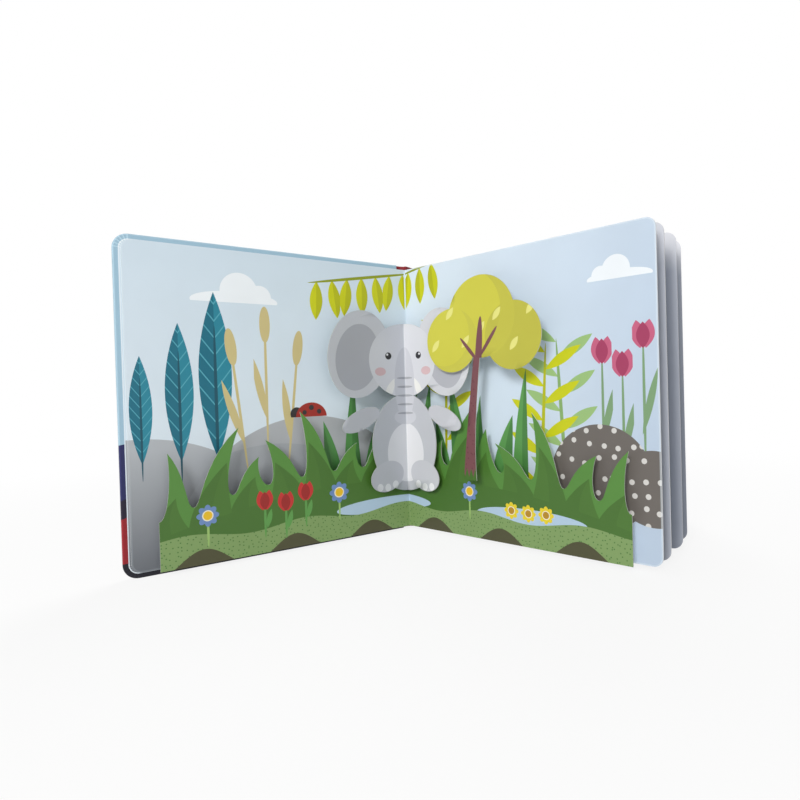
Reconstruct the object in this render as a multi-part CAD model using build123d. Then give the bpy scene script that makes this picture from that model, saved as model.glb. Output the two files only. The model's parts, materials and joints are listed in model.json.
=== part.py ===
from build123d import *
import os
from math import cos, radians, sin, tan

# A square board pop-up book that stands open at its first spread.
# It is drawn about the gutter of that spread: x to the reader's right, y away from
# the reader, z up from the surface that the covers stand on. Sizes are millimetres.

# Pages
page_width = 180.0
page_height = 180.0
page_corner = 5.5
leaf_thickness = 0.7
fold_gap = 0.5          # bare crease between a pasted page and the hinge line
half_opening = 51.0     # each page of the spread, from the line to the reader
leaf_fan = (0.0, 3.0, 10.5, 15.8)  # how far each leaf has fallen back, in degrees
back_fan = 35.0         # how far the back cover has fallen back, in degrees
spine_turn = 10.5       # how far the spine has turned from square to the first leaf
leaf_pitch = 4.0        # between the folds of two leaves, at the spine

# Case
board_thickness = 2.5
board_edge = 0.5
cover_corner = 8.0
tail_square = 3.0       # cover beyond the pages at head and tail
fore_square = 4.0       # cover beyond the pages at the fore-edge
groove = 6.0            # hinge line to the edge of a cover board
spine_thickness = 2.3
spine_front_room = 1.8  # spine board to the front hinge line
spine_back_room = 1.0   # spine board to the back hinge line
wrap_thickness = 0.5
wrap_lap = 8.0          # wrap glued onto a cover board, past the groove
wrap_bend = 2.0         # where the wrap leaves the plane of a cover, from the hinge line

# Pop-up card
card = 0.5
ground_level = 7.0      # front of each layer, before its page
figure_level = 12.0
tree_level = 16.0
strip_margin = 13.0     # end of the ground strip to the fore-edge
strip_end_height = 27.0
strip_fold_height = 42.0
flap = 9.0              # glue flap of a folded tab

# Grass blades on the ground strip
bank_crest = 7.0        # the bank's top edge bows up between its fold and its end
blade_pitch = 21.5
blade_width = 25.0
blade_low = 16.0
blade_high = 42.0
blade_lean = 15.0
blade_belly = 0.3       # how soon the bowed edge turns over, as a share of its reach
height_rhythm = 2.2     # radians from one blade to the next, for tall and short
lean_rhythm = 1.3       # and for left and right
left_phase = 3.0
right_phase = 5.2

# Elephant, half of it on each page: offsets from its fold, heights from the tail of the pages
body_rise = 59.0
body_half_width = 27.0
body_half_height = 33.0
head_rise = 115.0
head_half_width = 28.0
head_half_height = 25.0
ear_out = 35.0
ear_rise = 119.0
ear_half_width = 23.0
ear_half_height = 29.0
ear_tilt = 14.0
arm_out = 35.0
arm_rise = 76.0
arm_half_length = 15.0
arm_half_width = 6.5
arm_tilt = -22.0
foot_out = 16.0
foot_rise = 37.0
foot_half_width = 13.0
foot_half_height = 10.0
foot_tilt = -18.0

# Tree on the right page: places along that page, heights below the head of the pages
crown_out = 79.0
crown_drop = 42.0
crown_radius = 25.0
crown_side_radius = 20.0
crown_spread = 23.0
crown_sag = 13.0
trunk_foot_out = 68.0
trunk_foot_rise = 38.0
trunk_top_width = 4.5
trunk_foot_width = 10.0
trunk_flare = 30.0      # height over which the trunk spreads to its foot

# Folded struts behind the figure and the tree
strut_width = 16.0
strut_height = 18.0
figure_strut_out = 22.0
figure_strut_rise = 104.0
tree_strut_drop = 54.0

cover_height = page_height + 2 * tail_square
page_foot = tail_square
page_head = tail_square + page_height
up = Vector(0, 0, 1)


# The page planes
def direction(angle):
    """Level direction at this angle from the line to the reader, to the right."""
    return Vector(sin(radians(angle)), -cos(radians(angle)), 0)


def page_plane(angle, root):
    """Upright plane of a page that leaves its root: x along the page, y up."""
    along = direction(angle)
    return Plane(origin=root, x_dir=along, z_dir=along.cross(up))


spine_run = direction(half_opening + spine_turn + 90)
spine_out = direction(half_opening + spine_turn + 180)
front_hinge = Vector(0, 0, 0)
back_hinge = front_hinge + spine_run * (leaf_pitch * len(leaf_fan))

# The reader's side of a page is +1 or -1 along its plane's own normal.
right_page = (page_plane(half_opening, front_hinge), 1)
left_page = (page_plane(-half_opening, front_hinge), -1)
last_page = (page_plane(half_opening + back_fan, back_hinge), 1)


def sheet(outline, page, near, far):
    """Flat card between two levels before (+) or behind (-) the face of a page."""
    plane, facing = page
    return extrude(plane.offset(near * facing) * outline, (far - near) * facing)


def panel(start, end, low, high):
    """Upright rectangle on a page."""
    return Pos(start, low) * Rectangle(end - start, high - low, align=(Align.MIN, Align.MIN))


def leaf_outline(start, end, low, high, corner):
    """Panel with its two outer corners rounded."""
    return fillet(panel(start, end, low, high).vertices().sort_by(Axis.X)[-2:], corner)


def upright(points, low, high):
    """Prism on a closed outline in plan."""
    return Pos(0, 0, low) * extrude(make_face(Polyline(*points, close=True)), high - low)


def on_page(page, out, level):
    """Point in plan at a distance along a page and a level before its face."""
    plane, facing = page
    return plane.origin + plane.x_dir * out + plane.z_dir * (level * facing)


def on_spine(along, out):
    """Point in plan on the spine: along it from the front hinge, and outwards."""
    return front_hinge + spine_run * along + spine_out * out


# Case
def cover_board(page):
    """Board of a cover, behind its pasted page, with its wrapped rims softened."""
    outline = leaf_outline(groove, page_width + fore_square, 0, cover_height, cover_corner)
    board = sheet(outline, page, -leaf_thickness, -leaf_thickness - board_thickness)
    faces = board.faces().sort_by(SortBy.AREA)[-2:]
    return fillet([edge for face in faces for edge in face.edges()], board_edge)


def pasted_page(page):
    """Outer page of the block, pasted inside a cover."""
    outline = leaf_outline(fold_gap, page_width, page_foot, page_head, page_corner)
    return sheet(outline, page, 0, -leaf_thickness)


spine_front = spine_front_room
spine_back = leaf_pitch * len(leaf_fan) - spine_back_room


def spine_board():
    """Flat board behind the folds of the leaves."""
    inside = [on_spine(spine_front, 0), on_spine(spine_back, 0)]
    outside = [on_spine(spine_back, spine_thickness), on_spine(spine_front, spine_thickness)]
    return upright(inside + outside, 0, cover_height)


def wrap_joint(page, spine_edge):
    """Wrap paper over a groove, from the outside of a cover to the edge of the spine."""
    inside = -leaf_thickness - board_thickness
    outside = inside - wrap_thickness
    points = [
        on_page(page, groove + wrap_lap, inside),
        on_page(page, groove + wrap_lap, outside),
        on_page(page, wrap_bend, outside),
        on_spine(spine_edge, spine_thickness),
        on_spine(spine_edge, spine_thickness - wrap_thickness),
        on_page(page, wrap_bend, inside),
    ]
    return upright(points, 0, cover_height)


# Leaves
def leaf_block():
    """The card leaves between the covers, joined by the folds at their roots, flush at the spine."""
    outline = leaf_outline(0, page_width, page_foot, page_head, page_corner)
    last = leaf_pitch * (len(leaf_fan) - 1) + leaf_thickness
    glued = [on_spine(0, 0), on_spine(last, 0)]
    inner = [on_spine(last, -leaf_thickness), on_spine(0, -leaf_thickness)]
    block = upright(glued + inner, page_foot, page_head)
    for number, fan in enumerate(leaf_fan):
        root = on_spine(leaf_pitch * number, 0)
        block += sheet(outline, (page_plane(half_opening + fan, root), 1), 0, -leaf_thickness)
    return block - spine_board()


# Pop-up card
def fold_at(level):
    """Where a layer at this level meets its other half, along the page."""
    return level / tan(radians(half_opening))


def half_space(side):
    """All that lies on one side of the plane of the folds."""
    depth = 2 * (page_width + fore_square)
    return Pos(side * depth / 2, 0, cover_height / 2) * Box(depth, 2 * depth, 2 * cover_height)


def folded(outlines, level):
    """Card with one half before each page, creased where the halves meet."""
    left, right = outlines
    halves = sheet(left, left_page, level - card, level) & half_space(-1)
    return halves + (sheet(right, right_page, level - card, level) & half_space(1))


def blade(foot, rise, height, lean):
    """Blade of grass like a flame: bowed on one side, hollow on the side that it leans to."""
    side = 1 if lean > 0 else -1
    tip = (foot + lean, rise + height)
    bowed = (foot - side * blade_width / 2, rise)
    hollow = (foot + side * blade_width / 2, rise)
    belly = (bowed[0] + blade_belly * (tip[0] - bowed[0]), rise + height / 2)
    under = (tip[0], rise + height / 2)
    edges = Bezier(bowed, belly, tip) + Bezier(tip, under, hollow) + Line(hollow, bowed)
    return make_face(edges)


def bank_height(out, start, end):
    """Top of the ground strip under its blades, bowed up between fold and end."""
    share = (out - start) / (end - start)
    chord = strip_fold_height + (strip_end_height - strip_fold_height) * share
    return page_foot + chord + bank_crest * 4 * share * (1 - share)


def ground_outline(phase):
    """Grassy bank from its fold to its outer end; the phase sets which blades are tall."""
    start = fold_at(ground_level)
    end = page_width - strip_margin
    middle = (start + end) / 2
    inner = start - ground_level
    top = ThreePointArc(
        (end, bank_height(end, start, end)),
        (middle, bank_height(middle, start, end)),
        (start, bank_height(start, start, end)),
    )
    bank = make_face(
        top
        + Polyline(
            (start, bank_height(start, start, end)),
            (inner, bank_height(start, start, end)),
            (inner, page_foot),
            (end, page_foot),
            (end, bank_height(end, start, end)),
        )
    )
    for number in range(int((end - start - blade_width) // blade_pitch)):
        foot = start + blade_width + blade_pitch * number
        tallness = (1 + sin(height_rhythm * number + phase)) / 2
        height = blade_low + (blade_high - blade_low) * tallness
        lean = blade_lean * cos(lean_rhythm * number + phase)
        sunk = bank_height(foot, start, end) - blade_width / 2
        bank += blade(foot, sunk, height + blade_width / 2, lean)
    return bank


def glue_tab(page):
    """Tab at an end of the ground strip: back to the page, then under the strip."""
    end = page_width - strip_margin
    top = page_foot + strip_end_height - card
    riser = sheet(panel(end - card, end, page_foot, top), page, 0, ground_level)
    return riser + sheet(panel(end - flap, end, page_foot, top), page, 0, card)


def ground_strip():
    strip = folded((ground_outline(left_phase), ground_outline(right_phase)), ground_level)
    return strip + glue_tab(left_page) + glue_tab(right_page)


def oval(out, rise, half_width, half_height, tilt=0):
    return Pos(out, rise) * Rot(0, 0, tilt) * Ellipse(half_width, half_height)


def elephant_half():
    """Half of a sitting elephant, seen from the front, from its fold outwards."""
    shape = oval(0, body_rise, body_half_width, body_half_height)
    shape += oval(0, head_rise, head_half_width, head_half_height)
    shape += oval(ear_out, ear_rise, ear_half_width, ear_half_height, ear_tilt)
    shape += oval(arm_out, arm_rise, arm_half_length, arm_half_width, arm_tilt)
    shape += oval(foot_out, foot_rise, foot_half_width, foot_half_height, foot_tilt)
    return Pos(fold_at(figure_level), page_foot) * shape


def figure():
    half = elephant_half()
    return folded((half, half), figure_level)


def tree():
    """Tree with a crown of three round tufts, before the right page."""
    rise = page_head - crown_drop
    tufts = Pos(crown_out, rise) * Circle(crown_radius)
    for side in (-1, 1):
        tufts += Pos(crown_out + side * crown_spread, rise - crown_sag) * Circle(crown_side_radius)
    foot = page_foot + trunk_foot_rise
    sides = []
    for side in (-1, 1):
        top = (crown_out + side * trunk_top_width / 2, rise)
        spread = (trunk_foot_out + side * trunk_top_width / 2, foot + trunk_flare)
        sides.append(Bezier(top, spread, (trunk_foot_out + side * trunk_foot_width / 2, foot)))
    left, right = sides
    trunk = make_face(left + right + Line(left @ 0, right @ 0) + Line(left @ 1, right @ 1))
    return sheet(tufts + trunk, right_page, tree_level - card, tree_level)


def strut(page, out, rise, level):
    """Folded bench of card that carries a layer: two flaps, two risers and a top."""
    back = level - card
    low, high = rise, rise + strut_height
    bench = sheet(panel(out, out + strut_width, low, high), page, back - card, back)
    for start, end in ((out, out - flap), (out + strut_width, out + strut_width + flap)):
        inner = start + card if end < start else start - card
        riser = panel(min(start, inner), max(start, inner), low, high)
        foot = panel(min(inner, end), max(inner, end), low, high)
        bench += sheet(riser, page, 0, back) + sheet(foot, page, 0, card)
    return bench


figure_strut_foot = page_foot + figure_strut_rise
tree_strut_foot = page_head - tree_strut_drop
tree_strut_out = crown_out - strut_width / 2

pieces = {
    "front_cover": cover_board(left_page),
    "back_cover": cover_board(last_page),
    "spine_board": spine_board(),
    "front_joint": wrap_joint(left_page, spine_front),
    "back_joint": wrap_joint(last_page, spine_back),
    "left_page": pasted_page(left_page),
    "leaf_block": leaf_block(),
    "back_page": pasted_page(last_page),
    "ground_strip": ground_strip(),
    "figure": figure(),
    "figure_strut_left": strut(left_page, figure_strut_out, figure_strut_foot, figure_level),
    "figure_strut_right": strut(right_page, figure_strut_out, figure_strut_foot, figure_level),
    "tree": tree(),
    "tree_strut": strut(right_page, tree_strut_out, tree_strut_foot, tree_level),
}

# The origin is under the middle of the whole book.
boxes = [piece.bounding_box() for piece in pieces.values()]
low_corner = [min(getattr(box.min, axis) for box in boxes) for axis in "XYZ"]
high_corner = [max(getattr(box.max, axis) for box in boxes) for axis in "XYZ"]
middle_x = (low_corner[0] + high_corner[0]) / 2
middle_y = (low_corner[1] + high_corner[1]) / 2
to_origin = Pos(-middle_x, -middle_y, -low_corner[2])

os.makedirs("parts", exist_ok=True)
for name, piece in pieces.items():
    export_step(to_origin * piece, f"parts/{name}.step")

print("size", [round(high - low, 2) for low, high in zip(low_corner, high_corner)])
print("front hinge", round(-middle_x, 3), round(-middle_y, 3))
print("back hinge", round(back_hinge.X - middle_x, 3), round(back_hinge.Y - middle_y, 3))
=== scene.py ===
# %% [markdown]
# # Dressing a pop-up book
# A square board book stands open on its tail. Its first spread holds three layers of cut card:
# a grassy bank from page to page, an animal creased on its middle, and a tree. The frame already
# holds every board, leaf and card at its real size, so this lesson is about finish: the printed
# picture, the coated card and the wrapped boards.

# %% Load the frame
import json
import math
from functools import partialmethod

import bmesh
import bpy
import numpy as np
from mathutils import Matrix, Vector


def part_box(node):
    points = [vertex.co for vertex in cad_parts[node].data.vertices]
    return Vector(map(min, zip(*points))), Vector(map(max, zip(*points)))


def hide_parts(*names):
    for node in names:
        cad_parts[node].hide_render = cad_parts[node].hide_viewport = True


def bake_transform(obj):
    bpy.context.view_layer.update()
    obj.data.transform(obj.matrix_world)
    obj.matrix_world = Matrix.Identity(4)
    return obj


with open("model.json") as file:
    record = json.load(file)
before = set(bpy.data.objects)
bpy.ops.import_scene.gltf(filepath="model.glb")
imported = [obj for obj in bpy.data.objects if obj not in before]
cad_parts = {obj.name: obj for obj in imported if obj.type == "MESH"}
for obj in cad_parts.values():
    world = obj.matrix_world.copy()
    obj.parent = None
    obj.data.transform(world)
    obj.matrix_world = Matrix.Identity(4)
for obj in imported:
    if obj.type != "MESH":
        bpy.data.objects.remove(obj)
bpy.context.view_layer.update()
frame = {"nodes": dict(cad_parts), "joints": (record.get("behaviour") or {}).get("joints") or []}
nodes = frame["nodes"]
hinges = {joint["name"]: joint for joint in frame["joints"]}
print("frame:", sorted(nodes))

# %% [markdown]
# ## Where the pages are
# Everything on a page is placed by how far it is along the page from its fold, and how high it is
# above the page's lower edge. The folds are the hinge lines of the frame, and the angles are those
# of the spread as it stands, so two directions for each page are all the geometry there is.

# %% Page directions
MM = 0.001
HALF_OPENING = math.radians(51)
BACK_FAN = math.radians(35)
UP = Vector((0, 0, 1))
PAGE_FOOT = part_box("left_page")[0].z
PAGE_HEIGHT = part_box("left_page")[1].z - PAGE_FOOT


def floor_point(hinge):
    """Foot of a hinge line, on the floor."""
    x, y = hinges[hinge]["pos_m"][:2]
    return Vector((x, y, 0))


def level_direction(angle):
    """Level direction at this angle from the line to the reader, to the right."""
    return Vector((math.sin(angle), -math.cos(angle), 0))


gutter = floor_point("front_cover_hinge")
back_fold = floor_point("back_cover_hinge")
right_along = level_direction(HALF_OPENING)
left_along = level_direction(-HALF_OPENING)
back_along = level_direction(HALF_OPENING + BACK_FAN)
right_facing = right_along.cross(UP)
left_facing = UP.cross(left_along)
back_facing = back_along.cross(UP)
left_side = (gutter, left_along, left_facing)
right_side = (gutter, right_along, right_facing)
back_side = (back_fold, back_along, back_facing)
print("gutter at", [round(x, 4) for x in gutter], "page", round(PAGE_HEIGHT / MM), "mm tall")

# %% [markdown]
# ## Camera
# The view is level with the middle of the pages and close to them, so the covers' edges run
# together strongly. The place, the turn and the lens were fitted to the corners of the pages.
# A small sideways shift holds the frame as the picture was cropped.

# %% Camera
FRAME_PIXELS = 800
LENS_PIXELS = 588
CENTRE_PIXEL = (435, 396)
CAMERA_FROM_GUTTER = Vector((42, -418, 98)) * MM
CAMERA_YAW, CAMERA_PITCH, CAMERA_ROLL = (math.radians(a) for a in (-3.1, -0.7, 1.6))

camera_data = bpy.data.cameras.new("camera")
camera_data.sensor_width = 36
camera_data.lens = LENS_PIXELS / FRAME_PIXELS * camera_data.sensor_width
camera_data.shift_x = (FRAME_PIXELS / 2 - CENTRE_PIXEL[0]) / FRAME_PIXELS
camera_data.shift_y = (CENTRE_PIXEL[1] - FRAME_PIXELS / 2) / FRAME_PIXELS
camera_data.clip_start = 0.01
camera = bpy.data.objects.new("camera", camera_data)
bpy.context.scene.collection.objects.link(camera)
aim = Matrix.Rotation(-CAMERA_YAW, 4, "Z") @ Matrix.Rotation(math.pi / 2 + CAMERA_PITCH, 4, "X")
roll = Matrix.Rotation(-CAMERA_ROLL, 4, "Z")
camera.matrix_world = Matrix.Translation(gutter + CAMERA_FROM_GUTTER) @ aim @ roll
bpy.context.scene.camera = camera
print("lens", round(camera_data.lens, 1), "mm")

# %% [markdown]
# ## Nodes
# Every finish below is a small graph of shader nodes. One function adds a node, sets it and links
# it, and one turns a written sRGB colour into the linear values that the shader works in. Much of a
# print is sums about places. A small class lets them be written as sums, so that a Math node with
# its links takes no more than a plus sign. A comparison gives a mask, which is 1 or 0. Masks are
# multiplied where both have to hold, and a bar between two of them means either.


# %% Node helpers
def add(tree, kind, inputs=None, **settings):
    """One node of a kind: its settings by name, and its inputs as values or as sockets to link."""
    node = tree.nodes.new(kind)
    for name, value in settings.items():
        setattr(node, name, value)
    for name, value in (inputs or {}).items():
        if isinstance(value, Number):
            value = value.socket
        if isinstance(value, bpy.types.NodeSocket):
            tree.links.new(value, node.inputs[name])
        else:
            node.inputs[name].default_value = value
    return node


class Number:
    """A number in a node graph. Each step of a sum that is written with it is one Math node."""

    def __init__(self, tree, socket):
        self.tree = tree
        self.socket = socket

    def math_node(self, operation, *others):
        """Number that a Math node makes of this one and others."""
        node = add(self.tree, "ShaderNodeMath", dict(enumerate((self, *others))), operation=operation)
        return Number(self.tree, node.outputs[0])

    def __rsub__(self, other):
        """What is left of a plain number when this one is taken off."""
        return self.math_node("MULTIPLY_ADD", -1.0, other)

    __add__ = partialmethod(math_node, "ADD")
    __sub__ = partialmethod(math_node, "SUBTRACT")
    __mul__ = partialmethod(math_node, "MULTIPLY")
    __truediv__ = partialmethod(math_node, "DIVIDE")
    __lt__ = partialmethod(math_node, "LESS_THAN")
    __gt__ = partialmethod(math_node, "GREATER_THAN")
    __or__ = partialmethod(math_node, "MAXIMUM")
    __abs__ = partialmethod(math_node, "ABSOLUTE")
    at_least = partialmethod(math_node, "MAXIMUM")
    at_most = partialmethod(math_node, "MINIMUM")
    sign = partialmethod(math_node, "SIGN")
    sine = partialmethod(math_node, "SINE")
    cosine = partialmethod(math_node, "COSINE")


# %% Colour helpers
def ink(code):
    """Linear colour of an sRGB hex code."""
    channels = [int(code[i:i + 2], 16) / 255 for i in (1, 3, 5)]
    linear = [c / 12.92 if c <= 0.04045 else ((c + 0.055) / 1.055) ** 2.4 for c in channels]
    return (*linear, 1.0)


def mixed(tree, share, colour, other, blend="MIX"):
    """Socket of a colour with a share of another in it."""
    mix = add(tree, "ShaderNodeMix", {0: share, 6: colour, 7: other}, data_type="RGBA", blend_type=blend)
    return mix.outputs[2]


def new_material(name):
    """Empty node material with its output."""
    material = bpy.data.materials.new(name)
    material.use_nodes = True
    material.node_tree.nodes.clear()
    tree = material.node_tree
    return material, tree, add(tree, "ShaderNodeOutputMaterial")


# %% [markdown]
# ## Coated card
# The leaves and cut-outs are coated art card: white board with a smooth clay coat, printed, then
# sealed with a thin satin varnish. To the eye that is an even colour with a soft, broad sheen, a
# trace of fibre in it, and a core along each cut. That core is painted grey, darker than the white
# board, as painted shade along the cuts. The fibre is about 0.2 mm, too fine to show here, so it is
# drawn at about 0.9 mm and very shallow.

# %% Card finishes
FIBRE_MM = 0.9
CLOUDING_MM = 38.0
CARD_IOR = 1.5
VARNISHED = 0.42
COATED_FIBRE_MM = 0.012


def card_shader(tree, output, colour, roughness, fibre_depth_mm=COATED_FIBRE_MM, mottling=0.05):
    """Paper surface over a colour: faint clouding of the ink, fibre relief and a soft sheen."""
    place = add(tree, "ShaderNodeTexCoord").outputs["Object"]
    clouds = add(tree, "ShaderNodeTexNoise", {
        "Vector": place, "Scale": 1 / (CLOUDING_MM * MM), "Detail": 3.0,
    })
    shade = add(tree, "ShaderNodeMapRange", {
        "Value": clouds.outputs["Fac"], "From Min": 0.3, "From Max": 0.7,
        "To Min": 1 - mottling, "To Max": 1.0,
    })
    inked = add(tree, "ShaderNodeVectorMath", {0: colour, 1: shade.outputs[0]}, operation="MULTIPLY")
    fibre = add(tree, "ShaderNodeTexNoise", {
        "Vector": place, "Scale": 1 / (FIBRE_MM * MM), "Detail": 3.0,
    })
    relief = add(tree, "ShaderNodeBump", {
        "Height": fibre.outputs["Fac"], "Strength": 0.5, "Distance": fibre_depth_mm * MM,
    })
    surface = add(tree, "ShaderNodeBsdfPrincipled", {
        "Base Color": inked.outputs[0], "Roughness": roughness, "IOR": CARD_IOR,
        "Normal": relief.outputs[0],
    })
    tree.links.new(surface.outputs[0], output.inputs["Surface"])


def plain_card(name, code, roughness, fibre_depth_mm):
    """Unprinted card of one colour."""
    material, tree, output = new_material(name)
    card_shader(tree, output, ink(code)[:3], roughness, fibre_depth_mm, mottling=0.08)
    return material


# The core of each cut is painted grey, darker than the white board: painted shade along the cuts.
card_core = plain_card("card_core_with_painted_shade", "#C2C4BF", roughness=0.85, fibre_depth_mm=0.04)
card_reverse = plain_card("uncoated_card_reverse", "#E9E8E3", roughness=0.75, fibre_depth_mm=0.03)
print("card:", card_core.name, card_reverse.name)

# %% [markdown]
# ## Print
# The picture on such a book is flat colour: fields of sky, hill and grass with simple cut-paper
# shapes over them, each with a clean edge. An image would do, but shapes drawn by a few nodes stay
# sharp at any size. A print starts from a ground colour, and each shape is a mask that lays one
# more ink over what is there. Places are in millimetres, along the page and up it. A motif that
# comes several times is drawn once, at places counted from the nearest of a row.


# %% Distances and rows
def diagonal(out, rise):
    """Length of the straight line that goes this far out and up."""
    return (out * out + rise * rise).math_node("SQRT")


def nearest(run, middle, pitch, reach):
    """Distance from the nearest motif of a row, and its number counted from the middle one."""
    steps = (run - middle) / pitch
    number = steps.math_node("ROUND").at_most(reach).at_least(-reach)
    return run - (number * pitch + middle), number


# %% Printed shapes
class Print:
    """A picture in the making on one sheet: its place in millimetres and its colour so far."""

    def __init__(self, tree, place, ground):
        self.tree = tree
        self.place = place
        self.colour = ground
        self.along, self.up = self.parts(place)

    def parts(self, place):
        """A place as two numbers, along the sheet and up it."""
        split = add(self.tree, "ShaderNodeSeparateXYZ", {0: place})
        return [Number(self.tree, socket) for socket in split.outputs[:2]]

    def lay(self, mask, code, blend="MIX"):
        """Prints an ink where the mask is 1."""
        self.colour = mixed(self.tree, mask, self.colour, ink(code), blend)

    def lay_ribbed(self, masks, code, half_code):
        """Prints a shape in one ink, and the half of it beyond its rib in another."""
        whole, half = masks
        self.lay(whole, code)
        self.lay(half, half_code)

    def seen_at(self, along, up):
        """The same sheet with its shapes found at other places, so that a motif can repeat."""
        place = add(self.tree, "ShaderNodeCombineXYZ", {0: along, 1: up}).outputs[0]
        return Print(self.tree, place, self.colour)

    def local(self, middle, half_size, turn):
        """Place measured from a shape's middle, turned with it, in its half sizes."""
        return add(self.tree, "ShaderNodeMapping", {
            "Vector": self.place, "Location": (*middle, 0), "Rotation": (0, 0, math.radians(turn)),
            "Scale": (*half_size, 1),
        }, vector_type="TEXTURE").outputs[0]

    def oval(self, middle, half_size, turn=0.0):
        """Ellipse."""
        away = add(self.tree, "ShaderNodeVectorMath", {0: self.local(middle, half_size, turn)},
                   operation="LENGTH")
        return Number(self.tree, away.outputs["Value"]) < 1.0

    def disc(self, middle, radius):
        """Round dot."""
        return self.oval(middle, (radius, radius))

    def stalk(self, foot, tip, width):
        """Straight stalk, slightly bellied, from its foot to its tip."""
        run = Vector(tip) - Vector(foot)
        middle = (Vector(foot) + Vector(tip)) / 2
        return self.oval(middle, (run.length / 2, width / 2), math.degrees(math.atan2(run.y, run.x)))

    def leaf(self, middle, half_size, turn=0.0):
        """Pointed leaf, whose two bowed edges meet at both tips, and the half beyond its rib."""
        run, across = self.parts(self.local(middle, half_size, turn))
        whole = run * run + abs(across) < 1.0
        return whole, whole * (across > 0.0)

    def below(self, height, swell=0.0, wave=60.0, phase=0.0):
        """Everything under a wavy line."""
        angle = self.along * (2 * math.pi / wave) + phase
        return self.up < angle.sine() * swell + height

    def rim(self, width, height, corner, margin):
        """Margin along the outer, upper and lower edges of a sheet with round corners."""
        out = self.along - (width - corner)
        rise = abs(self.up - height / 2) - (height / 2 - corner)
        return diagonal(out.at_least(0.0), rise.at_least(0.0)) > corner - margin

    def gradual(self, run, start, end, share):
        """A mask that comes in gradually from one place to another, up to a share."""
        ramp = add(self.tree, "ShaderNodeMapRange", {
            "Value": run, "From Min": start, "From Max": end, "To Max": share,
        })
        return Number(self.tree, ramp.outputs[0])

    def dots(self, pitch, radius, wander):
        """Scattered dots on a loose grid."""
        spots = add(self.tree, "ShaderNodeTexVoronoi", {
            "Vector": self.place, "Scale": 1 / pitch, "Randomness": wander,
        }, voronoi_dimensions="2D")
        return Number(self.tree, spots.outputs["Distance"]) < radius / pitch


# %% [markdown]
# ## Motifs
# A small stock of plain shapes fills both pages and the bank: clouds, blades of grass, stalks,
# tulips and daisies. Each is a few leaves and ovals in two tones, the way such a book is drawn.

# %% Motifs
BELLY = 0.12
BLADE_FOOT_MM = 36.0
PAGE_BLADES = 20.0


def cloud(sheet, middle, width, code="#EEF3F7"):
    """Flat-bottomed cloud of three puffs."""
    along, up = middle
    puffs = (
        sheet.disc(middle, width * 0.20)
        | sheet.disc((along - width * 0.22, up - width * 0.05), width * 0.13)
        | sheet.oval((along + width * 0.04, up - width * 0.10), (width * 0.46, width * 0.10))
    )
    sheet.lay(puffs * (1 - sheet.below(up - width * 0.12)), code)


def daisy(sheet, middle, radius, petal, heart):
    """Flower with a scalloped rim of eight petals about a heart."""
    out, rise = sheet.parts(sheet.local(middle, (radius, radius), 0))
    petals = abs((rise.math_node("ARCTAN2", out) * 4.0).cosine())
    away = diagonal(out, rise)
    sheet.lay(away < petals * 0.26 + 0.74, petal)
    sheet.lay(away < 0.5, "#F2EBD2")
    sheet.lay(away < 0.4, heart)


def flame(near, lean, rise, half_width):
    """Blade like a flame, bowed on one side and hollow on the other, and the half beyond its rib."""
    across, reach = near * lean.sign(), abs(lean)
    turn = rise * (rise * (1 - 2 * BELLY) + 2 * BELLY)
    bowed = (reach + half_width) * turn - half_width
    left = 1 - rise
    hollow = (half_width - reach) * (left * left) + reach
    whole = (across > bowed) * (across < hollow) * (rise < 1.0)
    return whole, whole * (across > (bowed + hollow) * 0.5)


def row_of(run, middle, pitch, reach, shape):
    """Masks of a row of shapes, each of which may lean over into its neighbour's place."""
    near, number = nearest(run, middle, pitch, reach)
    step = near.sign()
    pair = zip(shape(near, number), shape(near - step * pitch, number + step))
    return [one | other for one, other in pair]


def blades(sheet, end, pitch, height, half_width, phase, inks):
    """Row of printed blades of grass from the fold on, tall and short by turns."""
    def blade(near, number):
        sway = (number * 2.3 + phase).sine()
        turn = (number * 1.3 + (phase + 1.0)).sine()
        rise = (sheet.up - BLADE_FOOT_MM) / (sway * (height * 0.3) + height)
        return flame(near, turn * (half_width * 1.3), rise.at_least(0.0), half_width)

    row = row_of(sheet.along, 0.0, pitch, PAGE_BLADES, blade)
    sheet.lay_ribbed([mask * (sheet.along < end) for mask in row], *inks)


def tulips(sheet, middle, pitch, foot, height, size, inks):
    """Three tulips of different height: stalk, one blade, and a cup of three petals."""
    flower, shade, green = inks
    near, number = nearest(sheet.along, middle, pitch, 1.0)
    lift = number * (height * 0.07) + number * number * (height * 0.22)
    one = sheet.seen_at(near, sheet.up - lift)
    top = foot + height
    sheet.lay(one.stalk((0, foot - height * 0.4), (0, top), 1.5), green)
    sheet.lay(one.leaf((size * 0.42, foot + height * 0.3), (height * 0.36, size * 0.26), 76)[0], green)
    for side, turn in ((-1, 98), (1, 82)):
        sheet.lay(one.leaf((side * size * 0.34, top), (size, size * 0.5), turn)[0], flower)
    sheet.lay(one.leaf((0, top - size * 0.08), (size * 0.92, size * 0.48), 90)[0], shade)


# %% [markdown]
# ## Pages
# A page of the frame is a rigid solid, so its place on the sheet can be read from its own
# coordinates: the distance along the page, the height above its foot, and how far it lies before
# the page's face. The cut edges, found by the way that they face, show the pale core. The upper
# outer part of the left page is plain sky. The leaves behind have a plain dusk landscape, painted
# dark where the page in front shades them and paler towards the head and the fore-edge: painted
# shade.


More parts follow.
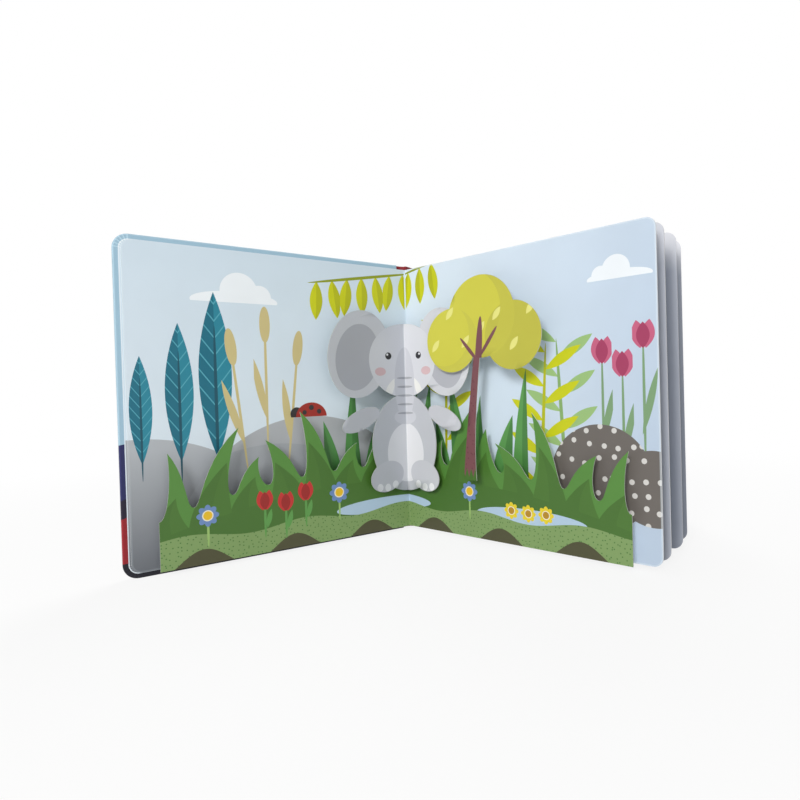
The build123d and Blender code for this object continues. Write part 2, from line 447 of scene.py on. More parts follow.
# %% Place on a page
def page_place(tree, fold, along, facing, foot):
    """Place on a page, in millimetres, and the height before its face."""
    point = add(tree, "ShaderNodeTexCoord").outputs["Object"]
    from_fold = add(tree, "ShaderNodeVectorMath", {0: point, 1: fold + UP * foot},
                    operation="SUBTRACT").outputs[0]
    sizes = []
    for axis in (along, UP, facing):
        dot = add(tree, "ShaderNodeVectorMath", {0: from_fold, 1: axis / MM}, operation="DOT_PRODUCT")
        sizes.append(Number(tree, dot.outputs["Value"]))
    place = add(tree, "ShaderNodeCombineXYZ", {0: sizes[0], 1: sizes[1]})
    return place.outputs[0], sizes[2]


def sky(sheet, high, low, start=40.0, end=175.0):
    """Ground colour of a page: a sky that changes from one height to another."""
    return mixed(sheet.tree, sheet.gradual(sheet.up, start, end, 1.0), ink(low), ink(high))


# %% Left picture
HANGING_PITCH_MM = 11.0
PAST_FOLD_MM = 6.0


def poplars(sheet, middle, pitch, foot, height, half_width):
    """Three tall leaf-shaped trees, each with a lit side, veins and a rib."""
    near, number = nearest(sheet.along, middle, pitch, 1.0)
    size = number * -0.24 + 1.0
    one = sheet.seen_at(near / size, (sheet.up - foot) / size)
    masks = one.leaf((0, height / 2), (height / 2, half_width), 90)
    sheet.lay_ribbed(masks, "#08687E", "#1F8196")
    slant = abs(one.along) * -1.3 + one.up
    vein = (slant / 8.0).math_node("FRACT") < 0.11
    sheet.lay(masks[0] * vein, "#4FA3B4")
    sheet.lay(one.stalk((0, -12), (0, height * 0.8), 1.5), "#084D5E")


def reeds(sheet, middle, pitch, foot, height, code):
    """Three reeds that lean apart, each with a long round head and a blade."""
    near, number = nearest(sheet.along, middle, pitch, 1.0)
    rise = sheet.up - foot
    one = sheet.seen_at(near - number * rise * 0.11, abs(number) * 14.0 + rise)
    head = one.oval((0, height - 11), (3.3, 11))
    blade = one.leaf((4, height * 0.36), (20, 2.4), 78)[0]
    sheet.lay(one.stalk((0, -10), (0, height), 1.7) | head | blade, code)


def garland(sheet, middle, reach, top, fall, tip):
    """Branch that comes over the gutter, with a row of hanging leaves."""
    near, number = nearest(sheet.along, middle, HANGING_PITCH_MM, reach)
    drop = number * fall + sheet.up
    lean = (number * 2.2).sine() * (top - drop) * 0.14
    one = sheet.seen_at(near - lean, drop)
    sheet.lay_ribbed(one.leaf((0, top - 12), (12.5, 4.4), 90), "#C9CC08", "#B5B806")
    foot = (-PAST_FOLD_MM, 177 + fall / HANGING_PITCH_MM * PAST_FOLD_MM)
    sheet.lay(sheet.stalk(foot, tip, 2.0), "#8F9B1C")


def ladybird(sheet, middle, size):
    """Beetle from the side: domed wing case with spots, and a dark head."""
    along, up = middle
    above = 1 - sheet.below(up)
    sheet.lay(sheet.disc((along + size * 0.95, up + size * 0.2), size * 0.4) * above, "#2F2A2C")
    sheet.lay(sheet.oval(middle, (size, size * 0.86)) * above, "#9E271D")
    for out, rise, radius in ((-0.5, 0.3, 0.15), (0.0, 0.55, 0.16), (0.45, 0.27, 0.14)):
        sheet.lay(sheet.disc((along + out * size, up + rise * size), radius * size), "#2F2A2C")


def left_picture(sheet):
    """Left page: a cloud, grey hills, poplars, reeds, a hanging branch, a ladybird and grass."""
    cloud(sheet, (118, 156), 56)
    far_hill = sheet.oval((176, 0), (84, 72))
    sheet.lay(far_hill, "#B0B4B9")
    # Painted shade: the far hill is painted darker towards its foot.
    sheet.lay(far_hill * sheet.gradual(sheet.up, 66, 0, 0.95), "#62666D")
    poplars(sheet, middle=153, pitch=20, foot=58, height=78, half_width=7.6)
    near_hill = sheet.oval((76, -4), (84, 84))
    sheet.lay(near_hill, "#ACAFB3")
    sheet.lay(near_hill * sheet.oval((100, -20), (92, 84)), "#A1A5AA")
    reeds(sheet, middle=103, pitch=15, foot=70, height=78, code="#C9BA83")
    garland(sheet, middle=35, reach=3.0, top=171, fall=1.7, tip=(74, 165))
    ladybird(sheet, middle=(74, 79.5), size=10.5)
    blades(sheet, end=66, pitch=15, height=56, half_width=7.0, phase=1.1, inks=("#4F8C48", "#417A3A"))


# %% Right picture
def bamboo(sheet, foot, lean, height, inks):
    """Stalk with leaves set left and right by turns."""
    leaf_code, stalk_code = inks
    along, up = foot
    slope = lean / height
    across = sheet.along - (sheet.up * slope + (along - up * slope))
    near, _ = nearest(across.sign() * 5.0 + sheet.up, up + height * 0.56, 20.0, 2.0)
    one = sheet.seen_at(abs(across), near)
    sheet.lay(one.leaf((11.5, 0), (13, 3.3), 30)[0], leaf_code)
    sheet.lay(sheet.stalk(foot, (along + lean, up + height), 2.2), stalk_code)


def right_picture(sheet):
    """Right page: sky painted paler to the fold as painted light, a cloud, bamboo, tulips behind a
    boulder, a branch, grass.
    """
    # Painted light: the sky is painted paler towards the fold.
    sheet.lay(sheet.gradual(sheet.along, 176, 50, 0.9), "#DFECF7")
    cloud(sheet, (158, 156), 40)
    bamboo(sheet, foot=(126, 30), lean=-5, height=92, inks=("#9BBF7A", "#87AD69"))
    bamboo(sheet, foot=(34, 20), lean=4, height=128, inks=("#CACD06", "#B5BA08"))
    bamboo(sheet, foot=(108, 20), lean=6, height=100, inks=("#CACD06", "#B5BA08"))
    garland(sheet, middle=14.5, reach=1.0, top=178.9, fall=-1.7, tip=(74, 190))
    tulips(sheet, middle=160.5, pitch=11.5, foot=56, height=50, size=7.5,
           inks=("#C65F80", "#A53B60", "#7D9F74"))
    boulder = sheet.oval((146, 44), (30, 29), 12) | sheet.oval((176, 40), (22, 20))
    sheet.lay(boulder, "#6C6661")
    sheet.lay(boulder * sheet.dots(8.5, 1.5, 0.55), "#D9D6D2")
    blades(sheet, end=100, pitch=16, height=54, half_width=7.4, phase=0.2, inks=("#5B9A4F", "#498341"))


# %% Page print
FACE_DEPTH_MM = 0.05
EDGE_TILT = 0.7
PAGE_MM, PAGE_CORNER_MM, TRIM_MM = 180.0, 5.5, 0.8
# Dusk colours of the leaves behind: dark where the page in front shades them and pale at the head, which
# is painted shade.
SHADED_DUSK_HIGH, SHADED_DUSK_LOW = "#DDDEE3", "#8F95A2"


def shaded_dusk_picture(sheet):
    """Leaves behind: moon, stars and firs over low hills, in a sky painted dark with a paler head and
    fore-edge, which is painted shade.
    """
    # Painted shade: dark below the head of the leaf, paler towards the head.
    sheet.colour = sky(sheet, SHADED_DUSK_HIGH, SHADED_DUSK_LOW, 158.0, 180.0)
    night = sheet.gradual(sheet.along, 164.0, 112.0, 1.0) * sheet.gradual(sheet.up, 176.0, 150.0, 1.0)
    sheet.lay(night, "#B9C4D8")
    sheet.lay(night * sheet.dots(19.0, 1.1, 0.85), "#F3F0DF")
    sheet.lay(sheet.disc((98, 128), 19), "#D5DAE2")
    sheet.lay(sheet.disc((98, 128), 15), "#F4EFD9")
    sheet.lay(sheet.oval((84, -22), (82, 78)), "#8FA6B4")
    near, number = nearest(sheet.along, 66.0, 21.0, 2.0)
    fir = sheet.seen_at(near, (number * 2.1).sine() * 9.0 + sheet.up)
    sheet.lay_ribbed(fir.leaf((0, 66), (24, 8.5), 90), "#4F7080", "#5E8090")
    sheet.lay(sheet.oval((30, -30), (110, 72)), "#6F8C96")
    # Painted shade: paler towards the fore-edge, darker inward where the leaf in front shades it.
    sheet.lay(sheet.gradual(sheet.along, 172.0, 181.0, 0.55), "#D9DCE4")


def printed_page(name, side, sky_codes, picture, rim_share):
    """Coated card: a picture and a pale trimmed rim on its face, dusk with painted shade behind, pale cut
    edges.
    """
    material, tree, output = new_material(name)
    place, before = page_place(tree, *side, PAGE_FOOT)
    sheet = Print(tree, place, ink(SHADED_DUSK_LOW))
    shaded_dusk_picture(sheet)
    behind = sheet.colour
    sheet.colour = sky(sheet, *sky_codes)
    picture(sheet)
    trim = sheet.rim(PAGE_MM, PAGE_MM, PAGE_CORNER_MM, TRIM_MM)
    sheet.lay(trim * rim_share, "#E6F0F7")
    both_sides = mixed(tree, before > -FACE_DEPTH_MM, behind, sheet.colour)
    normal = add(tree, "ShaderNodeTexCoord").outputs["Normal"]
    facing = side[-1]
    across = add(tree, "ShaderNodeVectorMath", {0: normal, 1: facing}, operation="DOT_PRODUCT")
    flat = abs(Number(tree, across.outputs["Value"])) > EDGE_TILT
    card_shader(tree, output, mixed(tree, flat, ink("#E4E5E4"), both_sides), VARNISHED)
    return material


left_print = printed_page("coated_card_left_page", left_side, ("#CFDEE9", "#DAE5EE"),
                          left_picture, rim_share=0.1)
right_print = printed_page("coated_card_right_page", right_side, ("#C4D3E3", "#BDCDE0"),
                           right_picture, rim_share=0.4)
last_print = printed_page("coated_card_last_page", back_side, (SHADED_DUSK_LOW, SHADED_DUSK_LOW),
                          shaded_dusk_picture, rim_share=0.4)
print("prints:", len(left_print.node_tree.nodes), "and", len(right_print.node_tree.nodes), "nodes")

# %% [markdown]
# ## Covers
# The case is greyboard wrapped in printed, matt-laminated paper. The wrap turns in round the
# boards' edges, so its bands of colour show as a narrow border about the pasted page, and on the
# outside they are a plain landscape. At the rounded corners the turned-in paper is gathered in
# small pleats, which a fan of shallow ridges about the corner gives. The ridges of the pleats and
# the rims are painted paler: painted highlights, with some rubbed wear. A margin of lining paper in
# the page's own colours, with a pale cut edge, shows next to the pasted page, its hill painted
# darker towards the foot as painted shade.

# %% Cover wrap
PEEL_MM = 1.6
COVER_REACH_MM = 184.0
COVER_HEIGHT_MM = 186.0
CORNER_MM = 8.0
PLEATS_PER_TURN = 22
TURN_IN_MM = 1.6
RUB_AND_HIGHLIGHT_MM = 0.7
BORDER_MM, LINING_EDGE_MM = 2.7, 0.5
# Shares of white laid softly over the pleat ridges and the rims: painted highlights, with some rubbed
# wear.
PLEAT_RUB_AND_HIGHLIGHT, RIM_RUB_AND_HIGHLIGHT = 0.6, 0.3
PLEAT_HEIGHT = 3.0
RED = "#93222A"
# Height, swell, wave, phase and ink of each band, from the farthest.
HILLS = (
    (80, 8, 120, 1.0, "#292B5A"),
    (41.5, 5, 90, 2.6, "#241F30"),
    (34, 4, 74, 0.4, RED),
    (7, 2, 60, 1.4, "#191922"),
)


def cover_rim(sheet, margin):
    """Margin round the edges of a cover."""
    return sheet.rim(COVER_REACH_MM, COVER_HEIGHT_MM, CORNER_MM, margin)


def pleats(sheet, inside):
    """Height of the gathered paper: ridges that fan about the two outer corners, on the inside."""
    middle = COVER_HEIGHT_MM / 2
    rise = abs(sheet.up - middle) - (middle - CORNER_MM)
    out = sheet.along - (COVER_REACH_MM - CORNER_MM)
    ridge = (rise.math_node("ARCTAN2", out) * PLEATS_PER_TURN).sine()
    return ridge * (rise > 0.0) * (out > 0.0) * inside


def lining(sheet, inside, sky_code, hill_code):
    """Margin of lining paper about the pasted page, with a pale cut edge and a hill painted darker
    towards its foot as painted shade.
    """
    for width, code in ((BORDER_MM, "#DDE7EE"), (BORDER_MM + LINING_EDGE_MM, sky_code)):
        paper = inside * (1 - cover_rim(sheet, width))
        sheet.lay(paper, code)
    sheet.lay(paper * sheet.below(75), hill_code)
    # Painted shade: the lining's hill is painted darker towards its foot.
    sheet.lay(paper * sheet.gradual(sheet.up, 69, 3, 0.8), "#62666D")


def cover_wrap(name, side, lining_codes):
    """Printed wrap of a cover: bands of hill under a pale sky."""
    material, tree, output = new_material(name)
    place, before = page_place(tree, *side, 0.0)
    sheet = Print(tree, place, ink("#9DBDD0"))
    cloud(sheet, (62, 150), 52, "#D3E3EC")
    cloud(sheet, (132, 128), 40, "#D3E3EC")
    sheet.lay(sheet.disc((96, 102), 26), "#E3C53A")
    for height, swell, wave, phase, code in HILLS:
        sheet.lay(sheet.below(height, swell, wave, phase), code)
    inside = before > -TURN_IN_MM
    lining(sheet, inside, *lining_codes)
    ridges = pleats(sheet, inside)
    # Pleat ridges and rims painted paler: painted highlights, with some rubbed wear.
    rub_and_highlight = ridges * PLEAT_RUB_AND_HIGHLIGHT | cover_rim(sheet, RUB_AND_HIGHLIGHT_MM) * RIM_RUB_AND_HIGHLIGHT
    sheet.lay(rub_and_highlight, "#FFFFFF", "SOFT_LIGHT")
    peel = add(tree, "ShaderNodeTexNoise", {"Vector": place, "Scale": 1 / PEEL_MM, "Detail": 2.0})
    waves = ridges * PLEAT_HEIGHT + peel.outputs["Fac"]
    relief = add(tree, "ShaderNodeBump", {"Height": waves, "Strength": 0.4, "Distance": 0.04 * MM})
    surface = add(tree, "ShaderNodeBsdfPrincipled", {
        "Base Color": sheet.colour, "Roughness": 0.38, "IOR": CARD_IOR, "Normal": relief.outputs[0],
        "Specular IOR Level": 0.3,
    })
    tree.links.new(surface.outputs[0], output.inputs["Surface"])
    return material


front_wrap = cover_wrap("laminated_paper_front_cover", left_side, ("#CBDAE4", "#A2A6AB"))
back_wrap = cover_wrap("laminated_paper_back_cover", back_side, ("#A9AEB9", "#9CA1AC"))
spine_wrap = plain_card("laminated_paper_spine", RED, roughness=0.4, fibre_depth_mm=0.03)
print("covers:", front_wrap.name, back_wrap.name)


# %% Dress the rigid pieces
def dress(node, material):
    """Gives a frame node its finish."""
    nodes[node].data.materials.clear()
    nodes[node].data.materials.append(material)


dress("left_page", left_print)
dress("leaf_block", right_print)
dress("back_page", last_print)
dress("front_cover", front_wrap)
dress("back_cover", back_wrap)
dress("spine_board", spine_wrap)

# %% [markdown]
# ## Card that folds
# The cut-outs bridge the gutter, so they can't ride on one cover. Real pop-up card is drawn flat
# between the pages as they close. A piece starts as a merged copy of its frame node, so that its
# outline is the real one, with the triangles of each flat side joined. Its crease gets a small
# bevel, since card bends round a radius, and cuts across it let it bow.

# %% Card meshes
MERGE = 1e-6
ON_FOLD = 1e-5
FLAT = math.radians(0.5)
SHARP = math.radians(35)
UV_SPAN_MM = 400.0
SAME_SIDE = 0.6
CREASE_RADIUS = 1.6 * MM
LEAST_CREASE = 2 * MM


def side_of(point):
    """Directions of the page that a point stands before: along it and towards the reader."""
    if point.x < gutter.x:
        return -1, left_along, left_facing
    return 1, right_along, right_facing


def on_sheet(point, side, along):
    """Place before a page in millimetres: signed distance along it, and height."""
    return side * (point - gutter).dot(along) / MM, (point.z - PAGE_FOOT) / MM


def on_fold(part):
    """Whether all corners of an edge or a face lie in the plane of the fold."""
    return all(abs(vert.co.x - gutter.x) < ON_FOLD for vert in part.verts)


def round_crease(mesh):
    """Bevels the upright edges that lie in the plane of the fold."""
    crease = [edge for edge in mesh.edges
              if on_fold(edge) and abs(edge.verts[0].co.z - edge.verts[1].co.z) > LEAST_CREASE]
    if crease:
        bmesh.ops.bevel(mesh, geom=crease, offset=CREASE_RADIUS, offset_type="OFFSET", affect="EDGES",
                        segments=4, profile=0.5, material=-1, clamp_overlap=True)


def cut_across(mesh, origin, normal, start, end, pitch):
    """Cuts a mesh by evenly spaced planes, between two distances from a point."""
    offset = start + pitch
    while offset < end:
        everything = mesh.verts[:] + mesh.edges[:] + mesh.faces[:]
        bmesh.ops.bisect_plane(mesh, geom=everything, plane_co=origin + normal * offset, plane_no=normal)
        offset += pitch


def merged_copy(node):
    """Closed mesh with the form of a frame node."""
    mesh = bmesh.new()
    mesh.from_mesh(nodes[node].data)
    bmesh.ops.remove_doubles(mesh, verts=mesh.verts, dist=MERGE)
    return mesh


def join_flat_faces(mesh):
    """Makes each flat side of a card one face."""
    bmesh.ops.dissolve_limit(mesh, angle_limit=FLAT, verts=mesh.verts, edges=mesh.edges)


def card_copy(node):
    """Card with the form of a frame node."""
    mesh = merged_copy(node)
    join_flat_faces(mesh)
    return mesh


def card_wall(mesh, stops, height, thickness):
    """Adds an upright wall of card to a mesh, through points in plan, from the foot of the pages."""
    corners = [mesh.verts.new(stop + UP * PAGE_FOOT) for stop in stops]
    edges = [mesh.edges.new(pair) for pair in zip(corners, corners[1:])]
    wall = bmesh.ops.extrude_edge_only(mesh, edges=edges)["geom"]
    raised = [part for part in wall if isinstance(part, bmesh.types.BMVert)]
    bmesh.ops.translate(mesh, verts=raised, vec=UP * height)
    faces = [part for part in wall if isinstance(part, bmesh.types.BMFace)]
    bmesh.ops.solidify(mesh, geom=faces, thickness=thickness)


# %% Folding card
def new_piece(name, mesh, *materials):
    """Object in the scene, made of a finished mesh and its materials."""
    data = bpy.data.meshes.new(name)
    mesh.to_mesh(data)
    mesh.free()
    for material in materials:
        data.materials.append(material)
    piece = bpy.data.objects.new(name, data)
    bpy.context.scene.collection.objects.link(piece)
    return piece


def card_piece(node, mesh, print_material, bow, pitch_mm=9.0):
    """Card that stands for a frame node, bowed, printed in front, white behind, and grey at its cuts,
    where the core's colour is painted shade.
    """
    round_crease(mesh)
    low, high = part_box(node)
    pitch = pitch_mm * MM
    cut_across(mesh, gutter, Vector((1, 0, 0)), low.x - gutter.x, high.x - gutter.x, pitch)
    cut_across(mesh, gutter, UP, low.z, high.z, pitch)
    uv_layer = mesh.loops.layers.uv.new("sheet")
    for face in mesh.faces:
        side, along, facing = side_of(face.calc_center_median())
        for loop in face.loops:
            out, up = on_sheet(loop.vert.co, side, along)
            loop[uv_layer].uv = (0.5 + out / UV_SPAN_MM, up / UV_SPAN_MM)
        across = face.normal.dot(facing)
        face.material_index = 0 if across > SAME_SIDE else 1 if across < -SAME_SIDE else 2
        face.smooth = abs(across) > SAME_SIDE
    for vert in mesh.verts:
        side, along, facing = side_of(vert.co)
        vert.co += facing * bow(*on_sheet(vert.co, side, along)) * MM
    piece = new_piece(node + "_card", mesh, print_material, card_reverse, card_core)
    piece.data.set_sharp_from_angle(angle=SHARP)
    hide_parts(node)
    return piece


def fold_with_pages(piece):
    """Bakes the piece's placement into its mesh."""
    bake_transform(piece)


# %% [markdown]
# ## Prints of the cut-outs
# A cut-out moves with its fold, so its picture follows the card by a map of its own: half a unit
# is the crease, and the map is in the same millimetres as the pages.


# %% Card print
def card_print(name, ground, picture):
    """Coated card whose picture follows its own flat layout."""
    material, tree, output = new_material(name)
    flat = add(tree, "ShaderNodeUVMap", uv_map="sheet").outputs[0]
    place = add(tree, "ShaderNodeVectorMath", {
        0: flat, 1: (UV_SPAN_MM, UV_SPAN_MM, 0.0), 2: (-UV_SPAN_MM / 2, 0.0, 0.0),
    }, operation="MULTIPLY_ADD").outputs[0]
    sheet = Print(tree, place, ink(ground))
    picture(sheet)
    card_shader(tree, output, sheet.colour, VARNISHED)
    return material


# %% [markdown]
# ## Bank of grass
# The bank is one long card whose upper edge is die-cut in blades like flames: bowed on one side,
# hollow on the side that each leans to, and run into the next by a round hollow. A row of triangles
# would look stiff, so the edge is a flat curve with a sharp point at each tip, a round one in each
# hollow, and handles that bow the sides. The tips stand where the frame's own blades have theirs, and
# one more blade leans out at the outer end. The curve is filled, made a mesh and set before its page. At
# each end a tab folds back to the page, tucked in so that only the bank's own edge shows.

# %% Sizes of the bank
CARD_MM = 0.5
BANK_LEVEL_MM = 7.0
STRIP_START_MM = BANK_LEVEL_MM / math.tan(HALF_OPENING)
STRIP_END_MM = 167.0
STRIP_RUN_MM = STRIP_END_MM - STRIP_START_MM
FOLD_HEIGHT_MM, END_HEIGHT_MM, BANK_CREST_MM = 42.0, 27.0, 7.0
BLADES = 7
LEFT_END_TIP_MM, RIGHT_END_TIP_MM = (162.0, 64.0), (166.0, 60.0)
BLADE_PITCH_MM = 21.5
FIRST_BLADE_MM = 25.0
BLADE_MID_MM, BLADE_SWING_MM = 29.0, 13.0
BLADE_LEAN_MM = 15.0
HEIGHT_RHYTHM, LEAN_RHYTHM = 2.2, 1.3
LEFT_PHASE, RIGHT_PHASE = 3.0, 5.2
HOLLOW_LIFT_MM, HOLLOW_ROUND_MM = 1.0, 4.5
BOWED_SIDE, HOLLOW_SIDE = (1.5, 0.12), (9.0, 0.5)
TIP_HANDLE = 0.42
TUCK_MM, FLAP_MM, TAB_HEIGHT_MM = 6.0, 9.0, 26.0


# %% Cut edge of the bank
def bank_top(out):
    """Height of the bank under its blades, bowed up between its fold and its end."""
    share = (out - STRIP_START_MM) / STRIP_RUN_MM
    chord = share * (END_HEIGHT_MM - FOLD_HEIGHT_MM) + FOLD_HEIGHT_MM
    return chord + share * (1 - share) * (4 * BANK_CREST_MM)


def tip_handle(hollow, tip, outward, bowed):
    """Handle at a tip that bows or hollows the side between it and a hollow."""
    inset, share = BOWED_SIDE if bowed else HOLLOW_SIDE
    start = hollow.x + outward * inset
    return Vector((start + (tip.x - start) * share, tip.y - (tip.y - hollow.y) * TIP_HANDLE))


def bank_knots(phase, end_tip):
    """Points round one half of the bank, each with the handles before and after it."""
    feet = [STRIP_START_MM + FIRST_BLADE_MM + BLADE_PITCH_MM * number for number in range(BLADES)]
    places = [foot - BLADE_PITCH_MM / 2 for foot in feet]
    hollows = [Vector((out, bank_top(out) + HOLLOW_LIFT_MM)) for out in places]
    hollows.append(Vector((STRIP_END_MM, END_HEIGHT_MM)))
    corners = [Vector((STRIP_START_MM, 0)), Vector((STRIP_START_MM, FOLD_HEIGHT_MM))]
    knots = [(corner, corner, corner) for corner in corners]
    round_off = Vector((HOLLOW_ROUND_MM, 0))
    for number, foot in enumerate(feet):
        sway = math.sin(HEIGHT_RHYTHM * number + phase)
        lean = BLADE_LEAN_MM * math.cos(LEAN_RHYTHM * number + phase)
        tip = Vector((foot + lean, bank_top(foot) + BLADE_MID_MM + BLADE_SWING_MM * sway))
        if number == BLADES - 1:
            tip, lean = Vector(end_tip), BLADE_LEAN_MM
        near, far = hollows[number], hollows[number + 1]
        knots.append((near, near - round_off if number else near, near + round_off))
        knots.append((tip, tip_handle(near, tip, 1, lean > 0), tip_handle(far, tip, -1, lean < 0)))
    end, foot = hollows[-1], Vector((STRIP_END_MM, 0))
    return knots + [(end, end - round_off, end), (foot, foot, foot)]


# %% Bank as a folded card
def flat_half(phase, end_tip):
    """One half of the bank as a flat card: along the page in x, up in y."""
    knots = bank_knots(phase, end_tip)
    curve = bpy.data.curves.new("bank_edge", "CURVE")
    curve.dimensions = "2D"
    curve.fill_mode = "BOTH"
    curve.extrude = CARD_MM * MM / 2
    curve.resolution_u = 10
    spline = curve.splines.new("BEZIER")
    spline.use_cyclic_u = True
    spline.bezier_points.add(len(knots) - 1)
    for point, places in zip(spline.bezier_points, knots):
        point.handle_left_type = point.handle_right_type = "FREE"
        point.co, point.handle_left, point.handle_right = ((place * MM).to_3d() for place in places)
    flat = bpy.data.objects.new("bank_edge", curve)
    data = bpy.data.meshes.new_from_object(flat)
    bpy.data.objects.remove(flat)
    return data


def glue_tab(mesh, along, facing):
    """Tab at an end of the bank: folded back to the page, then in under the bank."""
    stops = (
        (STRIP_END_MM - CARD_MM, BANK_LEVEL_MM - CARD_MM),
        (STRIP_END_MM - TUCK_MM, CARD_MM / 2),
        (STRIP_END_MM - TUCK_MM - FLAP_MM, CARD_MM / 2),
    )
    plan = [gutter + (along * out + facing * level) * MM for out, level in stops]
    card_wall(mesh, plan, TAB_HEIGHT_MM * MM, CARD_MM * MM)


def bank_mesh():
    """Both halves of the bank, mitred at the fold and joined there, with their glue tabs."""
    mesh = bmesh.new()
    middle = (BANK_LEVEL_MM - CARD_MM / 2) * MM
    halves = (
        (LEFT_PHASE, LEFT_END_TIP_MM, left_along, left_facing),
        (RIGHT_PHASE, RIGHT_END_TIP_MM, right_along, right_facing),
    )
    for phase, end_tip, along, facing in halves:
        made = len(mesh.verts)
        mesh.from_mesh(flat_half(phase, end_tip))
        mesh.verts.ensure_lookup_table()
        card = mesh.verts[made:]
        for vert in card:
            if vert.co.x < STRIP_START_MM * MM + MERGE:
                vert.co.x = (middle + vert.co.z) / math.tan(HALF_OPENING)
        turn = Matrix((along, UP, facing)).transposed().to_4x4()
        place = Matrix.Translation(gutter + UP * PAGE_FOOT + facing * middle) @ turn
        bmesh.ops.transform(mesh, matrix=place, verts=card)
    bmesh.ops.remove_doubles(mesh, verts=mesh.verts, dist=MERGE)
    inner = [face for face in mesh.faces if on_fold(face)]
    bmesh.ops.delete(mesh, geom=inner, context="FACES")
    bmesh.ops.recalc_face_normals(mesh, faces=mesh.faces)
    # Before the tabs: they add faces in no fixed order, which the joining would follow.
    join_flat_faces(mesh)
    for _, _, along, facing in halves:
        glue_tab(mesh, along, facing)
    bmesh.ops.recalc_face_normals(mesh, faces=mesh.faces)
    return mesh


# %% Grass print
MIDDLE_BLADE = 3
SUNK_MM = 12.5
INNER_HEIGHT, INNER_HALF_MM, INNER_SHIFT_MM = 0.64, 12.2, 1.5
BASE_DEPTH_MM = 9.0
LAST_MARGIN = 0.5
DARK_GRASS, WATER = "#456F28", "#B4CCE2"


def inner_blades(sheet):
    """Masks of the darker blades printed inside the cut ones, and of their halves beyond the rib."""
    phase = (sheet.along > 0.0) * (RIGHT_PHASE - LEFT_PHASE) + LEFT_PHASE
    first = STRIP_START_MM + FIRST_BLADE_MM

    def blade(near, number):
        index = number + MIDDLE_BLADE
        sway = (index * HEIGHT_RHYTHM + phase).sine()
        turn = (index * LEAN_RHYTHM + phase).cosine()
        rise = sheet.up - (bank_top(index * BLADE_PITCH_MM + first) - SUNK_MM)
        tall = (sway * BLADE_SWING_MM + (BLADE_MID_MM + SUNK_MM)) * INNER_HEIGHT
        masks = flame(turn * INNER_SHIFT_MM + near, turn * (BLADE_LEAN_MM * INNER_HEIGHT),
                      rise.at_least(0.0) / tall, INNER_HALF_MM)
        real = abs(number) < MIDDLE_BLADE + LAST_MARGIN
        return [mask * real for mask in masks]

    middle = first + MIDDLE_BLADE * BLADE_PITCH_MM
    return row_of(abs(sheet.along), middle, BLADE_PITCH_MM, MIDDLE_BLADE + 1.0, blade)


def grass_picture(page):
    """Bank of grass: darker blades inside the cut ones, a dotted verge, soil, water and flowers."""
    page.lay_ribbed(inner_blades(page), DARK_GRASS, "#49742B")
    out = abs(page.along)
    page.lay(page.up < bank_top(out) - BASE_DEPTH_MM, DARK_GRASS)
    sheet = page.seen_at(page.along.sign() * (out - STRIP_START_MM), page.up)
    sheet.lay(sheet.oval((98, 17), (38, 5.5)) | sheet.oval((-18, 17.5), (38, 5.0)), WATER)
    verge = sheet.below(15.5, 2.0, 70, 2.2)
    sheet.lay(verge, "#819E61")
    sheet.lay(verge * sheet.dots(2.8, 0.4, 0.75), "#4E7A3C")
    sheet.lay(sheet.below(2.0, 6.5, 54, -1.2), "#4B4A2D")
    tulips(sheet, middle=-90, pitch=13, foot=13, height=16, size=6.0,
           inks=("#C42F2D", "#9C211F", "#5E9A4C"))
    for along, up, radius in ((-136, 27, 6.2), (-54, 30, 6.8), (54, 29, 6.4)):
        sheet.lay(sheet.stalk((along, up - 18), (along, up), 1.3), "#9CC06F")
        daisy(sheet, (along, up), radius, "#6E8CC0", "#EDBE22")
    for along, up in ((86, 20.48), (98, 20), (110, 20.48)):
        daisy(sheet, (along, up), 5.2, "#E9D02C", "#B98A1E")
    page.colour = sheet.colour


# %% Elephant print
FIGURE_LEVEL_MM = 12.0
FIGURE_FOLD_MM = FIGURE_LEVEL_MM / math.tan(HALF_OPENING)
# Middle, half sizes, turn and ink of each round part, from the farthest.
BODY = (
    ((0, 59), (27, 33), 0, "#C6C8CE"),
    ((0, 52), (15.5, 20), 0, "#E9E9EC"),
    ((35, 76), (15, 6.5), -22, "#CDCED4"),
    ((35, 119), (23, 29), 14, "#D7D8DD"),
    ((36.5, 117), (16, 22), 14, "#B9BAC1"),
    ((0, 115), (28, 25), 0, "#DEDFE4"),
    ((16, 37), (13, 10), -18, "#CDCED4"),
)


def elephant_picture(page):
    """Grey elephant from the front, with its trunk on the crease and one half shaded."""
    sheet = page.seen_at(abs(page.along) - FIGURE_FOLD_MM, page.up)
    for middle, half_size, turn, code in BODY:
        sheet.lay(sheet.oval(middle, half_size, turn), code)
    for nail in ((10, 31), (16, 29.5), (22, 30)):
        sheet.lay(sheet.oval(nail, (2.3, 2.6)), "#F1F1F3")
    sheet.lay(sheet.leaf((12.5, 95), (9, 2.7), -62)[0], "#F4F3EE")
    trunk = sheet.oval((0, 99), (8.6, 25)) | sheet.oval((0, 76.5), (9.4, 5.2))
    sheet.lay(trunk, "#D2D3D9")
    near, _ = nearest(sheet.up, 91.0, 6.0, 2.0)
    wrinkle = sheet.seen_at(sheet.along, near).oval((0, 0), (6.8, 0.75))
    sheet.lay(trunk * wrinkle, "#A9ABB1")
    sheet.lay(sheet.disc((13, 118), 2.4), "#2B2B30")
    sheet.lay(sheet.disc((13.8, 118.9), 0.75), "#F5F5F7")
    sheet.lay(sheet.oval((19.5, 107.5), (4.2, 2.8)), "#DDBDC0")
    page.colour = sheet.colour
    page.lay(page.along < 0.0, "#D6D9DD", "MULTIPLY")


# %% Tree print
BARK = "#7A4A50"
